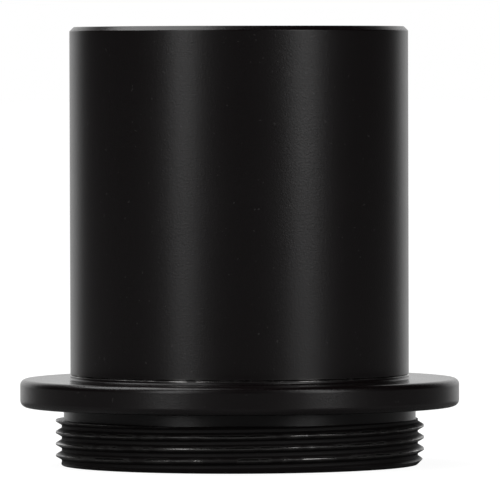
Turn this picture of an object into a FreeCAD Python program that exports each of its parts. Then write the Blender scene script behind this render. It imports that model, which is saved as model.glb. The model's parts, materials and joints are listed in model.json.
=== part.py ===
import FreeCAD, Part
import math
import os

import Sketcher

# Microscope camera adapter: a 23.2 mm eyepiece tube on a male camera mount ring,
# with a screw-adjusted reducing lens cell inside the tube.
# The axis is Z, the camera end stands on Z = 0 and the tube's rim is the top. Sizes are in mm.

SIZES = {
    # mount ring, from the camera end up
    "camera_thread_diameter": 25.25,
    "camera_thread_pitch": 0.79375,
    "camera_thread_crest_height": 2.66,
    "camera_thread_reach": 4.0,
    "camera_end_bevel": 0.45,
    "camera_neck_length": 0.88,
    "camera_neck_undercut": 0.15,
    "camera_bore_bevel": 0.3,
    "seat_width": 2.425,
    "seat_relief_width": 0.225,
    "seat_relief_depth": 0.1,
    "flange_thickness": 1.9,
    "flange_top_round": 0.4,
    "flange_under_round": 0.45,
    "collar_height": 0.28,
    "collar_bevel": 0.06,
    "collar_foot_round": 0.15,
    # screwed joint between the mount ring and the tube
    "joint_thread_pitch": 0.75,
    "joint_ring_wall": 1.0,
    "joint_tube_step": 0.6,
    "spigot_wall": 1.4,
    "stop_shoulder_height": 2.3,
    "stop_shoulder_width": 1.5,
    "stop_thickness": 0.5,
    "stop_overhang": 1.6,
    "stop_rim_clearance": 0.1,
    "stop_edge_thickness": 0.15,
    # eyepiece tube
    "tube_diameter": 23.2,
    "tube_reach": 24.1,
    "tube_foot_bevel": 0.06,
    "tube_thread_wall": 1.1,
    "rim_outer_bevel": 0.3,
    "rim_inner_bevel": 0.35,
    "baffle_pitch": 0.8,
    "baffle_depth": 0.25,
    "baffle_margin": 1.8,
    # screw threads of the tube, the cell and the joint
    "cell_thread_pitch": 0.75,
    "thread_clearance": 0.08,
    "thread_relief_length": 0.9,
    "thread_relief_depth": 0.05,
    "thread_end_bevel": 0.3,
    # lens cell
    "cell_travel": 2.25,
    "cell_rim_clearance": 0.75,
    "cell_skirt_clearance": 0.15,
    "cell_skirt_length": 2.0,
    "cell_wall": 1.464,
    "cell_lip_thickness": 0.9,
    "retainer_step": 0.45,
    "retainer_run_in": 0.2,
    "retainer_thickness": 1.2,
    "retainer_recess": 0.44,
    "lock_ring_thickness": 1.5,
    "lock_ring_overlap": 0.2,
    "spanner_slot_width": 1.2,
    "spanner_slot_depth": 0.7,
    # glass
    "glass_clearance": 0.05,
    "glass_seat_width": 0.6,
    "crown_edge_thickness": 0.65,
    "crown_front_radius": 32.0,
    "cement_radius": 26.0,
    "flint_thickness": 1.2,
    "flint_rear_radius": 90.0,
    "doublet_air_gap": 0.6,
    "rear_edge_thickness": 1.0,
    "rear_front_radius": 40.0,
}


class Size:
    """A length: the sheet formula that gives it, and its value."""

    def __init__(self, formula, value):
        self.formula = formula
        self.value = value

    def __add__(self, other):
        return joined(self, "+", other)

    def __sub__(self, other):
        return joined(self, "-", other)

    def __mul__(self, other):
        return joined(self, "*", other)

    def __truediv__(self, other):
        return joined(self, "/", other)

    def __neg__(self):
        return joined(0, "-", self)


SUMS = {
    "+": lambda left, right: left + right,
    "-": lambda left, right: left - right,
    "*": lambda left, right: left * right,
    "/": lambda left, right: left / right,
}


def as_size(thing):
    """Take a plain number as a length."""
    if isinstance(thing, Size):
        return thing
    return Size(str(float(thing)), float(thing))


def joined(left, sign, right):
    """Work out a sum, difference, product or quotient, in the formula and in the value."""
    left, right = as_size(left), as_size(right)
    return Size(f"({left.formula} {sign} {right.formula})", SUMS[sign](left.value, right.value))


def smaller(left, right):
    """The smaller of two lengths."""
    return Size(f"min({left.formula}; {right.formula})", min(left.value, right.value))


def whole(length):
    """The whole number at or below a quotient of lengths."""
    return Size(f"floor({length.formula})", float(math.floor(length.value)))


def sagitta(sphere_radius, at_radius):
    """How far a sphere's surface falls away from its top at a distance from the axis."""
    reach = sphere_radius * sphere_radius - at_radius * at_radius
    return sphere_radius - Size(f"sqrt({reach.formula})", math.sqrt(reach.value))


doc = FreeCAD.newDocument("CameraAdapter")
sheet = doc.addObject("Spreadsheet::Sheet", "Sizes")
for row, (alias, number) in enumerate(SIZES.items(), start=1):
    sheet.set(f"A{row}", alias.replace("_", " "))
    sheet.set(f"B{row}", str(number))
    sheet.setAlias(f"B{row}", alias)
doc.recompute()


def size(alias):
    """The named length of the sheet."""
    return Size(f"Sizes.{alias}", float(sheet.get(alias)))


AXIS = as_size(0)
FLOOR = as_size(0)

# 60 degree threads, with depths and flats as shares of the pitch. A nut's groove has a floor an
# eighth of the pitch wide and a screw's a quarter. The camera thread is a little less deep than
# the full form, as its crests are cut back. Each groove is carried a little past the crests,
# into the open.
THREAD_SLOPE = math.tan(math.radians(30))
THREAD_DEPTH_SHARE = 0.5413
CAMERA_THREAD_DEPTH_SHARE = 0.523
NARROW_FLOOR_HALF_SHARE = 1 / 16
WIDE_FLOOR_HALF_SHARE = 1 / 8
OVERSHOOT_SHARE = 1 / 16

# How near two places are to count as one, in mm, and the least that a cut takes, in mm3
SAME_PLACE = 1e-4
LEAST_CUT = 1e-6

# Radii of the mount ring, from the camera thread
camera_pitch = size("camera_thread_pitch")
camera_thread_radius = size("camera_thread_diameter") / 2
camera_root_radius = camera_thread_radius - camera_pitch * CAMERA_THREAD_DEPTH_SHARE
neck_radius = camera_root_radius - size("camera_neck_undercut")
flange_radius = camera_thread_radius + size("seat_width")

# Radii of the tube and of its joint with the ring, which both the neck and the tube limit
tube_radius = size("tube_diameter") / 2
joint_major = smaller(neck_radius - size("joint_ring_wall"), tube_radius - size("joint_tube_step"))
joint_pitch = size("joint_thread_pitch")
joint_minor = joint_major - joint_pitch * THREAD_DEPTH_SHARE
chamber_radius = joint_major - size("spigot_wall")
camera_bore_radius = joint_major - size("stop_shoulder_width")

# Radii of the cell, from the tube's wall inwards
clearance = size("thread_clearance")
cell_pitch = size("cell_thread_pitch")
nut_major = tube_radius - size("tube_thread_wall")
nut_minor = nut_major - cell_pitch * THREAD_DEPTH_SHARE
screw_major = nut_major - clearance
screw_minor = nut_minor - clearance
cell_bore_radius = screw_minor - size("cell_wall")
retainer_radius = cell_bore_radius + size("retainer_step")
glass_radius = cell_bore_radius - size("glass_clearance")
aperture_radius = glass_radius - size("glass_seat_width")

# Heights of the mount ring and the tube
seat_height = size("camera_thread_reach")
neck_bottom = seat_height - size("camera_neck_length")
flange_top = seat_height + size("flange_thickness")
collar_top = flange_top + size("collar_height")
rim_height = flange_top + size("tube_reach")
stop_bottom = size("stop_shoulder_height")
stop_top = stop_bottom + size("stop_thickness")

# Thickness of the cell's contents, from its rear lip to its front
rear_sphere = size("rear_front_radius")
flint_sphere = size("flint_rear_radius")
cement_sphere = size("cement_radius")
crown_sphere = size("crown_front_radius")
rear_thickness = size("rear_edge_thickness") + sagitta(rear_sphere, glass_radius)
crown_thickness = (size("crown_edge_thickness") + sagitta(crown_sphere, glass_radius)
                   + sagitta(cement_sphere, glass_radius))
doublet_thickness = size("flint_thickness") + crown_thickness
retainer_drop = sagitta(crown_sphere, aperture_radius) - size("glass_clearance")
glass_stack = rear_thickness + size("doublet_air_gap") + doublet_thickness - retainer_drop
cell_length = (size("cell_lip_thickness") + glass_stack + size("retainer_thickness")
               + size("retainer_recess"))

# Heights of the cell at the bottom of its travel, which its seat in the tube follows
lock_ring_top = rim_height - size("cell_rim_clearance") - size("cell_travel")
cell_top = lock_ring_top - size("lock_ring_thickness")
cell_bottom = cell_top - cell_length
rear_glass_bottom = cell_bottom + size("cell_lip_thickness")
rear_glass_top = rear_glass_bottom + rear_thickness
flint_bottom = rear_glass_top + size("doublet_air_gap")
cement_bottom = flint_bottom + size("flint_thickness")
crown_top = cement_bottom + crown_thickness
retainer_bottom = crown_top - retainer_drop
retainer_top = retainer_bottom + size("retainer_thickness")

# Heights where the two inner nut threads start, below their run-out reliefs
relief_length = size("thread_relief_length")
cell_relief_top = cell_bottom + relief_length
joint_relief_top = stop_bottom + relief_length
cell_nut_start = cell_relief_top - cell_pitch / 2
joint_nut_start = joint_relief_top - joint_pitch / 2


def new_body(name):
    """Start a piece under the name that its file gets."""
    body = doc.addObject("PartDesign::Body", name)
    body.Label = name
    body.Placement = FreeCAD.Placement()
    return body


def origin_plane(body, role):
    """One of the body's own origin planes."""
    return next(item for item in body.Origin.OriginFeatures if item.Role == role)


def new_sketch(body, name, role, height=None):
    """Attach a sketch to an origin plane of its body, raised to a height if one is given."""
    sketch = body.newObject("Sketcher::SketchObject", name)
    sketch.AttachmentSupport = (origin_plane(body, role), [""])
    sketch.MapMode = "FlatFace"
    if height is not None:
        sketch.setExpression("AttachmentOffset.Base.z", height.formula)
    return sketch


def dimension(sketch, length, kind, *places):
    """Add a dimension to a sketch and bind it to the sheet."""
    index = sketch.addConstraint(Sketcher.Constraint(kind, *places, length.value))
    sketch.setExpression(f"Constraints[{index}]", length.formula)


def hold_point(sketch, edge, end, across, up):
    """Fix one end of an edge by its distances from the sketch's origin."""
    for kind, axis, length in (("DistanceX", -2, across), ("DistanceY", -1, up)):
        if length is AXIS or length is FLOOR:
            sketch.addConstraint(Sketcher.Constraint("PointOnObject", edge, end, axis))
        else:
            dimension(sketch, length, kind, -1, 1, edge, end)


def outline(body, name, corners, role="XZ_Plane", height=None):
    """Draw a closed outline of straight sides; each corner is a pair of distances from the origin."""
    sketch = new_sketch(body, name, role, height)
    points = [FreeCAD.Vector(across.value, up.value, 0) for across, up in corners]
    following = points[1:] + points[:1]
    sketch.addGeometry([Part.LineSegment(a, b) for a, b in zip(points, following)], False)
    for edge in range(len(points)):
        after = (edge + 1) % len(points)
        sketch.addConstraint(Sketcher.Constraint("Coincident", edge, 2, after, 1))
    for edge, (across, up) in enumerate(corners):
        hold_point(sketch, edge, 1, across, up)
    return sketch


def turned(body, sketch, name, kind="PartDesign::Revolution"):
    """Turn an outline once round the axis, to add material or to cut it."""
    feature = body.newObject(kind, name)
    feature.Profile = sketch
    feature.ReferenceAxis = (sketch, ["V_Axis"])
    feature.Angle = 360
    doc.recompute()
    return feature


def ring(name, corners):
    """A turned piece."""
    body = new_body(name)
    turned(body, outline(body, "section", corners), "turning")
    return body


def check_cut(body, name, before):
    """Stop if a cut took no material away."""
    if body.Shape.Volume > before - LEAST_CUT:
        raise ValueError(f"{body.Label}: {name} cuts nothing")


def round_edge(body, name, radius, height, amount):
    """Round the circular edge at a radius and height."""
    base = body.Tip
    names = []
    for number, edge in enumerate(base.Shape.Edges, start=1):
        curve = edge.Curve
        if not isinstance(curve, Part.Circle) or abs(curve.Radius - radius.value) > SAME_PLACE:
            continue
        if abs(curve.Center.z - height.value) < SAME_PLACE:
            names.append(f"Edge{number}")
    if not names:
        raise ValueError(f"{body.Label}: no edge for {name}")
    feature = body.newObject("PartDesign::Fillet", name)
    feature.Base = (base, names)
    feature.setExpression("Radius", amount.formula)
    doc.recompute()


def thread_groove(body, name, floor, mouth, floor_half, pitch, start, end):
    """Cut a right-handed 60 degree groove between two heights of its middle line.

    The groove is narrow at its floor radius and widens to its mouth radius, in the open.
    """
    depth = mouth - floor if mouth.value > floor.value else floor - mouth
    mouth_half = floor_half + depth * THREAD_SLOPE
    before = body.Shape.Volume
    section = outline(
        body,
        name + "_section",
        [
            (floor, start - floor_half),
            (mouth, start - mouth_half),
            (mouth, start + mouth_half),
            (floor, start + floor_half),
        ],
    )
    feature = body.newObject("PartDesign::SubtractiveHelix", name)
    feature.Profile = section
    feature.ReferenceAxis = (section, ["V_Axis"])
    feature.Mode = "pitch-height-angle"
    feature.setExpression("Pitch", pitch.formula)
    feature.setExpression("Height", (end - start).formula)
    doc.recompute()
    check_cut(body, name, before)


def nut_thread(body, name, major, pitch, start, top):
    """Cut a female thread from its run-out relief up to an open end."""
    minor = major - pitch * THREAD_DEPTH_SHARE
    mouth = minor - pitch * OVERSHOOT_SHARE
    floor_half = pitch * NARROW_FLOOR_HALF_SHARE
    thread_groove(body, name, major, mouth, floor_half, pitch, start, top + pitch / 2)


def screw_thread(body, name, nut, pitch, nut_start, bottom, end):
    """Cut a male thread that stands in mesh with its nut, from an open bottom to a height."""
    major = nut - clearance
    minor = major - pitch * THREAD_DEPTH_SHARE
    mouth = major + pitch * OVERSHOOT_SHARE
    floor_half = pitch * WIDE_FLOOR_HALF_SHARE
    turns_up = whole((bottom - nut_start) / pitch)
    # the screw's groove takes the nut's ridge, half a pitch off the nut's groove
    start = nut_start + pitch * turns_up - pitch / 2
    thread_groove(body, name, minor, mouth, floor_half, pitch, start, end)


def cut_camera_thread(body):
    """Cut the male camera thread, from a turn below the end face up into the neck."""
    crest = size("camera_thread_crest_height")
    turns_down = whole(crest / camera_pitch) + 1
    # the groove lies half a pitch off the crest
    start = crest - camera_pitch / 2 - camera_pitch * turns_down
    mouth = camera_thread_radius + camera_pitch * OVERSHOOT_SHARE
    floor_half = camera_pitch * WIDE_FLOOR_HALF_SHARE
    end = neck_bottom + camera_pitch / 2
    thread_groove(body, "camera_thread", camera_root_radius, mouth, floor_half, camera_pitch,
                  start, end)


def cut_slots(body, height, along_x):
    """Cut the pair of spanner slots straight across a ring's front face, before its thread."""
    half = size("spanner_slot_width") / 2
    across, up = (tube_radius, half) if along_x else (half, tube_radius)
    before = body.Shape.Volume
    corners = [(-across, -up), (across, -up), (across, up), (-across, up)]
    sketch = outline(body, "slot_outline", corners, "XY_Plane", height)
    pocket = body.newObject("PartDesign::Pocket", "spanner_slots")
    pocket.Profile = sketch
    pocket.setExpression("Length", size("spanner_slot_depth").formula)
    doc.recompute()
    check_cut(body, "spanner_slots", before)


def make_mount_flange():
    """Flange ring with the male camera thread, its relief neck, and the collar under the tube."""
    relief_radius = camera_thread_radius + size("seat_relief_width")
    relief_top = seat_height + size("seat_relief_depth")
    end_bevel = size("camera_end_bevel")
    bore_bevel = size("camera_bore_bevel")
    collar_bevel = size("collar_bevel")
    joint_relief_radius = joint_major + size("thread_relief_depth")
    body = ring(
        "mount_flange",
        [
            (camera_bore_radius + bore_bevel, FLOOR),
            (camera_thread_radius - end_bevel, FLOOR),
            (camera_thread_radius, end_bevel),
            (camera_thread_radius, neck_bottom),
            (neck_radius, neck_bottom),
            (neck_radius, relief_top),
            (relief_radius, relief_top),
            (relief_radius, seat_height),
            (flange_radius, seat_height),
            (flange_radius, flange_top),
            (tube_radius, flange_top),
            (tube_radius, collar_top - collar_bevel),
            (tube_radius - collar_bevel, collar_top),
            (joint_minor, collar_top),
            (joint_minor, joint_relief_top),
            (joint_relief_radius, joint_relief_top),
            (joint_relief_radius, stop_bottom),
            (camera_bore_radius, stop_bottom),
            (camera_bore_radius, bore_bevel),
        ],
    )
    round_edge(body, "top_round", flange_radius, flange_top, size("flange_top_round"))
    round_edge(body, "under_round", flange_radius, seat_height, size("flange_under_round"))
    round_edge(body, "foot_round", tube_radius, flange_top, size("collar_foot_round"))
    nut_thread(body, "joint_nut_thread", joint_major, joint_pitch, joint_nut_start, collar_top)
    cut_camera_thread(body)
    return body


def make_field_stop():
    """Thin stop ring clamped between the tube's end and the ring's inner shoulder."""
    stop_aperture = chamber_radius - size("stop_overhang")
    outer = joint_minor - size("stop_rim_clearance")
    edge_top = stop_bottom + size("stop_edge_thickness")
    return ring(
        "field_stop",
        [
            (stop_aperture, stop_bottom),
            (outer, stop_bottom),
            (outer, stop_top),
            (stop_aperture + (stop_top - edge_top), stop_top),
            (stop_aperture, edge_top),
        ],
    )


def make_nosepiece_tube():
    """Eyepiece tube: a screwed spigot below, a ribbed chamber, and the female thread of the cell."""
    foot_bevel = size("tube_foot_bevel")
    rim_outer = size("rim_outer_bevel")
    rim_inner = size("rim_inner_bevel")
    relief_depth = size("thread_relief_depth")
    thread_bevel = size("thread_end_bevel")
    spigot_radius = joint_major - clearance
    undercut_radius = joint_minor - clearance - relief_depth
    undercut_bottom = collar_top - relief_length
    body = ring(
        "nosepiece_tube",
        [
            (chamber_radius, stop_top),
            (spigot_radius - thread_bevel, stop_top),
            (spigot_radius, stop_top + thread_bevel),
            (spigot_radius, undercut_bottom),
            (undercut_radius, undercut_bottom),
            (undercut_radius, collar_top),
            (tube_radius - foot_bevel, collar_top),
            (tube_radius, collar_top + foot_bevel),
            (tube_radius, rim_height - rim_outer),
            (tube_radius - rim_outer, rim_height),
            (nut_minor + rim_inner, rim_height),
            (nut_minor, rim_height - rim_inner),
            (nut_minor, cell_relief_top),
            (nut_major + relief_depth, cell_relief_top),
            (nut_major + relief_depth, cell_bottom),
            (chamber_radius, cell_bottom),
        ],
    )
    cut_baffles(body)
    nut_thread(body, "cell_nut_thread", nut_major, cell_pitch, cell_nut_start, rim_height)
    screw_thread(body, "spigot_thread", joint_major, joint_pitch, joint_nut_start, stop_top,
                 undercut_bottom + joint_pitch / 2)
    return body


def cut_baffles(body):
    """Cut the row of fine V grooves that keeps stray light down in the chamber."""
    pitch = size("baffle_pitch")
    margin = size("baffle_margin")
    count = whole((cell_bottom - stop_top - margin * 2) / pitch)
    middle = stop_top + margin + pitch / 2
    corners = [
        (chamber_radius, middle - pitch / 2),
        (chamber_radius + size("baffle_depth"), middle),
        (chamber_radius, middle + pitch / 2),
    ]
    sketch = outline(body, "baffle_section", corners)
    before = body.Shape.Volume
    groove = turned(body, sketch, "baffle", "PartDesign::Groove")
    check_cut(body, "baffle", before)
    row = body.newObject("PartDesign::LinearPattern", "baffle_row")
    row.Originals = [groove]
    row.Direction = (sketch, ["V_Axis"])
    row.setExpression("Length", (pitch * (count - 1)).formula)
    row.setExpression("Occurrences", count.formula)
    body.Tip = row
    doc.recompute()


def make_lens_cell():
    """Threaded barrel that carries the glass, with its rear lip and its front seat."""
    skirt_radius = nut_minor - size("cell_skirt_clearance")
    skirt_top = cell_bottom + size("cell_skirt_length")
    bevel = size("thread_end_bevel")
    front_seat = retainer_bottom - size("retainer_run_in")
    body = ring(
        "lens_cell",
        [
            (aperture_radius, cell_bottom),
            (skirt_radius, cell_bottom),
            (skirt_radius, skirt_top),
            (screw_major - bevel, skirt_top),
            (screw_major, skirt_top + bevel),
            (screw_major, cell_top - bevel),
            (screw_major - bevel, cell_top),
            (retainer_radius, cell_top),
            (retainer_radius, front_seat),
            (cell_bore_radius, front_seat),
            (cell_bore_radius, rear_glass_bottom),
            (aperture_radius, rear_glass_bottom),
        ],
    )
    cut_slots(body, cell_top, along_x=True)
    screw_thread(body, "cell_thread", nut_major, cell_pitch, cell_nut_start, skirt_top,
                 cell_top + cell_pitch)
    return body


def make_lock_ring():
    """Threaded ring that is screwed down on the cell's front face to lock it."""
    bore_radius = retainer_radius - size("lock_ring_overlap")
    bevel = size("thread_end_bevel")
    body = ring(
        "cell_lock_ring",
        [
            (bore_radius, cell_top),
            (screw_major - bevel, cell_top),
            (screw_major, cell_top + bevel),
            (screw_major, lock_ring_top - bevel),
            (screw_major - bevel, lock_ring_top),
            (bore_radius, lock_ring_top),
        ],
    )
    cut_slots(body, lock_ring_top, along_x=False)
    screw_thread(body, "lock_thread", nut_major, cell_pitch, cell_nut_start, cell_top,
                 lock_ring_top + cell_pitch)
    return body


def make_retaining_ring():
    """Slotted ring screwed into the cell's front that holds the glass down on the rear lip."""
    body = ring(
        "lens_retaining_ring",
        [
            (aperture_radius, retainer_bottom),
            (retainer_radius, retainer_bottom),
            (retainer_radius, retainer_top),
            (aperture_radius, retainer_top),
        ],
    )
    cut_slots(body, retainer_top, along_x=True)
    return body


def make_spacer_ring():
    """Plain ring between the rear element and the doublet, bearing on each by its inner edge."""
    spacer_bottom = rear_glass_top - sagitta(rear_sphere, aperture_radius)
    spacer_top = flint_bottom + sagitta(flint_sphere, aperture_radius)
    return ring(
        "spacer_ring",
        [
            (aperture_radius, spacer_bottom),
            (glass_radius, spacer_bottom),
            (glass_radius, spacer_top),
            (aperture_radius, spacer_top),
        ],
    )


def face_curve(vertex, sphere_radius, bend):
    """Section of a lens face, and which of its ends lie on the axis and at the rim."""
    rim = glass_radius.value
    start, end = 1, 2
    if sphere_radius is None:
        on_axis, at_rim = FreeCAD.Vector(0, vertex.value, 0), FreeCAD.Vector(rim, vertex.value, 0)
        return Part.LineSegment(on_axis, at_rim), start, end
    centre = FreeCAD.Vector(0, vertex.value + bend * sphere_radius.value, 0)
    circle = Part.Circle(centre, FreeCAD.Vector(0, 0, 1), sphere_radius.value)
    rim_angle = math.acos(rim / sphere_radius.value)
    if bend > 0:
        return Part.ArcOfCircle(circle, 1.5 * math.pi, 2 * math.pi - rim_angle), start, end
    return Part.ArcOfCircle(circle, rim_angle, 0.5 * math.pi), end, start


def make_lens(name, rear, front):
    """A glass element, turned from its section; a face is (height on the axis, sphere radius, bend).

    Bend is 1 where the sphere's centre lies above the face and -1 where it lies below.
    A flat face has no sphere radius.
    """
    body = new_body(name)
    sketch = new_sketch(body, "section", "XZ_Plane")
    bottom, top = FreeCAD.Vector(0, rear[0].value, 0), FreeCAD.Vector(0, front[0].value, 0)
    curves = [face_curve(*face) for face in (rear, front)]
    rim_points = [curve.StartPoint if rim_end == 1 else curve.EndPoint for curve, _, rim_end in curves]
    centre_line = sketch.addGeometry(Part.LineSegment(bottom, top), False)
    wall = sketch.addGeometry(Part.LineSegment(*rim_points), False)
    faces = zip(curves, (rear, front))
    for end, ((curve, axis_end, rim_end), (vertex, sphere_radius, _)) in enumerate(faces, start=1):
        face = sketch.addGeometry(curve, False)
        sketch.addConstraint(Sketcher.Constraint("Coincident", centre_line, end, face, axis_end))
        sketch.addConstraint(Sketcher.Constraint("Coincident", wall, end, face, rim_end))
        hold_point(sketch, centre_line, end, AXIS, vertex)
        if sphere_radius is None:
            sketch.addConstraint(Sketcher.Constraint("Horizontal", face))
        else:
            sketch.addConstraint(Sketcher.Constraint("PointOnObject", face, 3, -2))
            dimension(sketch, sphere_radius, "Radius", face)
    dimension(sketch, glass_radius, "DistanceX", -1, 1, wall, 1)
    sketch.addConstraint(Sketcher.Constraint("Vertical", wall))
    turned(body, sketch, "grinding")
    return body


def check_and_write(bodies):
    """Stop at a failed object or a bad shape, then write each piece to its own file."""
    for item in doc.Objects:
        if "Invalid" in item.State or "Error" in item.State:
            raise ValueError(f"{item.Name} failed: {item.State}")
    for body in bodies:
        if body.Shape.isNull() or not body.Shape.isValid() or len(body.Shape.Solids) != 1:
            raise ValueError(f"{body.Label} is not one sound solid")
    os.makedirs("parts", exist_ok=True)
    for body in bodies:
        body.Shape.exportStep(f"parts/{body.Label}.step")
        print(f"{body.Label}: {body.Shape.Volume:.2f} mm3, {len(body.Shape.Faces)} faces")


pieces = [
    make_mount_flange(),
    make_field_stop(),
    make_nosepiece_tube(),
    make_lens_cell(),
    make_lock_ring(),
    make_retaining_ring(),
    make_spacer_ring(),
    make_lens("rear_element", (rear_glass_bottom, None, 0), (rear_glass_top, rear_sphere, -1)),
    make_lens("flint_element", (flint_bottom, flint_sphere, 1), (cement_bottom, cement_sphere, 1)),
    make_lens("crown_element", (cement_bottom, cement_sphere, 1), (crown_top, crown_sphere, -1)),
]
doc.recompute()
check_and_write(pieces)
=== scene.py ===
"""Microscope camera adapter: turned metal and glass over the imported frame, in a plain studio.

The axis is Z. Shapes are worked out in millimetres and put into meshes in metres.
"""

import json
import logging
import math
from dataclasses import dataclass, field
from enum import Enum

import bmesh
import bpy
import numpy as np
from mathutils import Matrix, Vector

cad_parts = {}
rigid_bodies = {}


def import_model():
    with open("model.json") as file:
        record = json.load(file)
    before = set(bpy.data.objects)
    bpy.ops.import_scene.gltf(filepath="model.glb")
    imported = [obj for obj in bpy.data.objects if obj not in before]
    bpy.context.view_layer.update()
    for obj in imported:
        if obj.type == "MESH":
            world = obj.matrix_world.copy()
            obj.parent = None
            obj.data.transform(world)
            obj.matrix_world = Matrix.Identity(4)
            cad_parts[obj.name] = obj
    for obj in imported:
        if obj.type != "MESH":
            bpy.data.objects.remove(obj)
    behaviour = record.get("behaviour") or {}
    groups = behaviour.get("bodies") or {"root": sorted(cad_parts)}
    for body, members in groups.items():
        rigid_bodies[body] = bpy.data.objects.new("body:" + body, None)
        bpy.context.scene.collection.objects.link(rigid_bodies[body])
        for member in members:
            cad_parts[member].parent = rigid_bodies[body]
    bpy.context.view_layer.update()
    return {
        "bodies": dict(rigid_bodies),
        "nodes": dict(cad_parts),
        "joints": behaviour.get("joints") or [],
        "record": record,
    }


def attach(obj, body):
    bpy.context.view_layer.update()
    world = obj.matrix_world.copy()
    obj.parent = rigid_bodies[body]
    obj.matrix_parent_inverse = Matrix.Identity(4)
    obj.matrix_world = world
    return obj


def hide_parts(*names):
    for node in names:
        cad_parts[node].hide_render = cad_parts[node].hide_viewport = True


LOG = logging.getLogger("adapter")
MM = 0.001
TINY = 1e-9
NOISE_MEAN = 0.5

# Names of the marks that a mesh carries for its finish.
EDGE_ATTRIBUTE = "edge"
GROOVE_ATTRIBUTE = "groove"
LEVEL_ATTRIBUTE = "level"

# Thread form: slope of a flank, groove depth and half floor width as shares of the pitch.
FLANK = math.tan(math.radians(30))
THREAD_DEPTH_SHARE = 0.5413
MALE_FLOOR_SHARE = 1 / 8
FEMALE_FLOOR_SHARE = 1 / 16

# Roundings that outlines give to their small corners, in millimetres.
SHARP = 0.0
FAINT_ROUND = 0.01
SLIGHT_ROUND = 0.015
SMALL_ROUND = 0.02

# Steps of an arc whose rounding is up to each limit, and of one above them all.
ARC_LIMITS = (0.0, 0.06, 0.2)
ARC_STEPS = (0, 3, 4)
LARGE_ARC_STEPS = 8

# Roundings from which an arc has holding points and is an edge that can be rubbed, the largest
# of such an edge, and how far beyond the arc its holding points stand at most.
HELD_FROM = 0.02
CRISP_UP_TO = 0.1
HOLD_REACH = 0.02


class Side(Enum):
    """Which wall a screw thread is cut in."""

    OUTSIDE = "outside"
    INSIDE = "inside"


class Grain(Enum):
    """How a metal surface was left: shares of fine grain and of turning marks in its relief."""

    BLASTED = (0.9, 0.1)
    TURNED = (0.3, 0.7)


class Signal:
    """A shader socket that can be added, subtracted and multiplied."""

    def __init__(self, graph: "Graph", socket: bpy.types.NodeSocket) -> None:
        """Wrap a socket of a graph."""
        self.graph = graph
        self.socket = socket

    def _math(self, operation: str, left: "Signal | float", right: "Signal | float") -> "Signal":
        """Add a Math node for two values."""
        return self.graph.node("ShaderNodeMath", {"operation": operation}, {0: left, 1: right})

    def __add__(self, other: "Signal | float") -> "Signal":
        """Sum."""
        return self._math("ADD", self, other)

    def __radd__(self, other: "Signal | float") -> "Signal":
        """Sum, from the right."""
        return self._math("ADD", other, self)

    def __sub__(self, other: "Signal | float") -> "Signal":
        """Difference."""
        return self._math("SUBTRACT", self, other)

    def __rsub__(self, other: "Signal | float") -> "Signal":
        """Difference, from the right."""
        return self._math("SUBTRACT", other, self)

    def __mul__(self, other: "Signal | float") -> "Signal":
        """Product."""
        return self._math("MULTIPLY", self, other)

    def __rmul__(self, other: "Signal | float") -> "Signal":
        """Product, from the right."""
        return self._math("MULTIPLY", other, self)


class Graph:
    """The node tree of a material or a world."""

    def __init__(self, tree: bpy.types.NodeTree) -> None:
        """Start from an empty tree."""
        self.tree = tree
        tree.nodes.clear()

    def node(self, kind: str, settings: dict | None = None, inputs: dict | None = None,
             output: int | str = 0) -> Signal | None:
        """Add a node.

        Args:
            kind: the node's type.
            settings: properties that are set before its sockets.
            inputs: values or signals, by the socket's name or number.
            output: name or number of the socket that is returned.

        Returns:
            The chosen output, or None where the node has no outputs.
        """
        made = self.tree.nodes.new(kind)
        for name, value in (settings or {}).items():
            setattr(made, name, value)
        for name, value in (inputs or {}).items():
            if isinstance(value, Signal):
                self.tree.links.new(value.socket, made.inputs[name])
            else:
                made.inputs[name].default_value = value
        return Signal(self, made.outputs[output]) if len(made.outputs) else None

    def place(self) -> Signal:
        """Where on the object the surface is, in metres."""
        return self.node("ShaderNodeTexCoord", {}, {}, "Object")

    def mark(self, attribute: str) -> Signal:
        """A mark that the mesh carries, or nought where it has none."""
        return self.node("ShaderNodeAttribute", {"attribute_name": attribute}, {}, "Fac")

    def clamp(self, value: Signal) -> Signal:
        """The value, held between nought and one."""
        return self.node("ShaderNodeClamp", {}, {0: value})

    def part(self, vector: Signal, axis: str) -> Signal:
        """One component of a vector."""
        return self.node("ShaderNodeSeparateXYZ", {}, {0: vector}, axis)

    def ramp(self, value: Signal, low: float, high: float, start: float = 0.0,
             end: float = 1.0) -> Signal:
        """Carry a value smoothly from one range to another.

        Args:
            value: what is read.
            low: where the rise begins.
            high: where the rise ends.
            start: what is given below the rise.
            end: what is given above it.

        Returns:
            The eased value.
        """
        settings = {"interpolation_type": "SMOOTHSTEP"}
        limits = {"From Min": low, "From Max": high, "To Min": start, "To Max": end}
        return self.node("ShaderNodeMapRange", settings, {"Value": value, **limits})

    def colours(self, share: Signal, first: tuple, second: tuple) -> Signal:
        """Mix two colours by a share."""
        inputs = {"Factor": share, 6: (*first, 1.0), 7: (*second, 1.0)}
        return self.node("ShaderNodeMix", {"data_type": "RGBA"}, inputs, 2)

    def noise(self, place: Signal, size: float, detail: float = 2.0) -> Signal:
        """Noise whose lumps have a size in millimetres."""
        inputs = {"Vector": place, "Scale": 1 / (size * MM), "Detail": detail}
        return self.node("ShaderNodeTexNoise", {}, inputs)

    def surface(self, inputs: dict) -> None:
        """Make a Principled shader with these inputs the material's surface."""
        shader = self.node("ShaderNodeBsdfPrincipled", {}, inputs)
        self.node("ShaderNodeOutputMaterial", {}, {"Surface": shader})


def new_material(name: str) -> tuple[bpy.types.Material, Graph]:
    """Start a material, and an empty graph for it."""
    material = bpy.data.materials.new(name)
    material.use_nodes = True
    return material, Graph(material.node_tree)


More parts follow.
